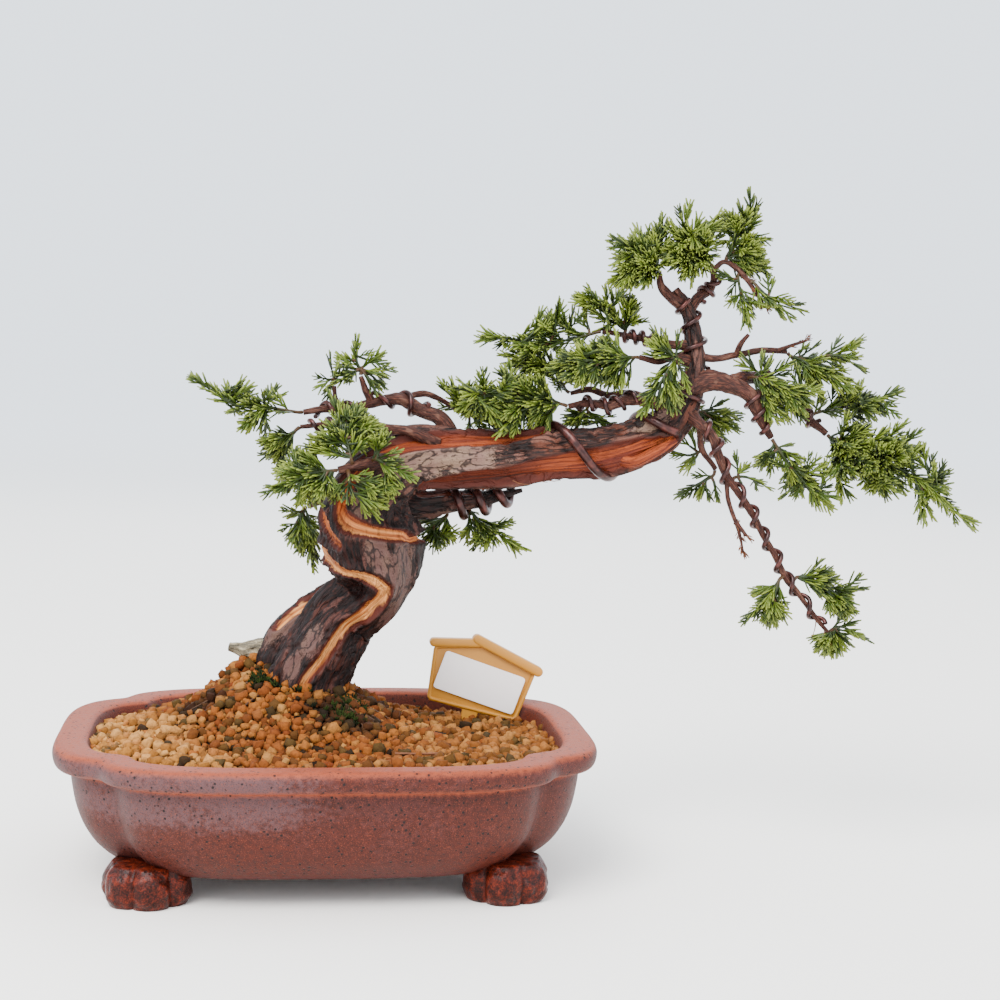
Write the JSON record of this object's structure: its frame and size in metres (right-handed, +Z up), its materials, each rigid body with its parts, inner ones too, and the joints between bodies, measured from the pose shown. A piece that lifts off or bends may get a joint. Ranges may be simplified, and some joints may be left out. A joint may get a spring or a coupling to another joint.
{
  "type": "potted bonsai tree",
  "caption": "Windswept juniper bonsai leaning over the side of a low four-lobed clay pot, with wired branches, small scale-leaf sprays and a blank plant label.",
  "frame": {"origin": "middle of the whole tree's box, at the plane its feet stand on", "axes": "+X along the pot's long side towards the leaning crown, +Y away from the front, +Z up"},
  "size_m": [0.4178, 0.193, 0.3068],
  "materials": {
    "bark": "rough flaking bark, purple-brown with orange-red live strips",
    "foliage": "matt green scale foliage",
    "wire": "copper-brown anodised, satin",
    "pot_clay": "unglazed red-brown stoneware, faintly satin",
    "akadama": "matt baked clay granules",
    "drain_mesh": "matt black",
    "label_plastic": "satin yellow",
    "sticker": "matt white, blank"
  },
  "bodies": {
    "root": {"trunk_and_branches": "bark", "wire_beam": "wire", "wire_leader": "wire", "wire_leader_pair": "wire", "wire_drop": "wire", "wire_right": "wire", "wire_right_back": "wire", "wire_crown_low": "wire", "wire_crown_top": "wire", "wire_left": "wire", "wire_left_front": "wire", "wire_apex": "wire", "spray_left_tip": "foliage", "spray_left_hanging": "foliage", "spray_upper_left": "foliage", "spray_upper_left_bud": "foliage", "spray_front_upper": "foliage", "spray_front_left": "foliage", "spray_front_low": "foliage", "spray_front_right": "foliage", "spray_back_left": "foliage", "spray_behind_beam": "foliage", "spray_under_left": "foliage", "spray_under_right": "foliage", "spray_crown_far_left": "foliage", "spray_crown_upper": "foliage", "spray_crown_middle": "foliage", "spray_crown_middle_left": "foliage", "spray_crown_low_left": "foliage", "spray_front_of_leader": "foliage", "spray_over_beam": "foliage", "spray_apex_left": "foliage", "spray_apex_centre": "foliage", "spray_apex_right": "foliage", "spray_apex_droop": "foliage", "spray_apex_hanging": "foliage", "spray_right_upper": "foliage", "spray_right_near": "foliage", "spray_pad_upper": "foliage", "spray_pad_end": "foliage", "spray_pad_left_low": "foliage", "spray_behind_leader": "foliage", "spray_drop_upper": "foliage", "spray_drop_lower": "foliage", "spray_drop_right": "foliage", "spray_end_left": "foliage", "spray_end_right": "foliage", "spray_end_tip": "foliage", "pot": "pot_clay", "drain_screen_left": "drain_mesh", "drain_screen_right": "drain_mesh", "soil": "akadama", "label_board": "label_plastic", "label_sticker": "sticker"}
  },
  "joints": []
}
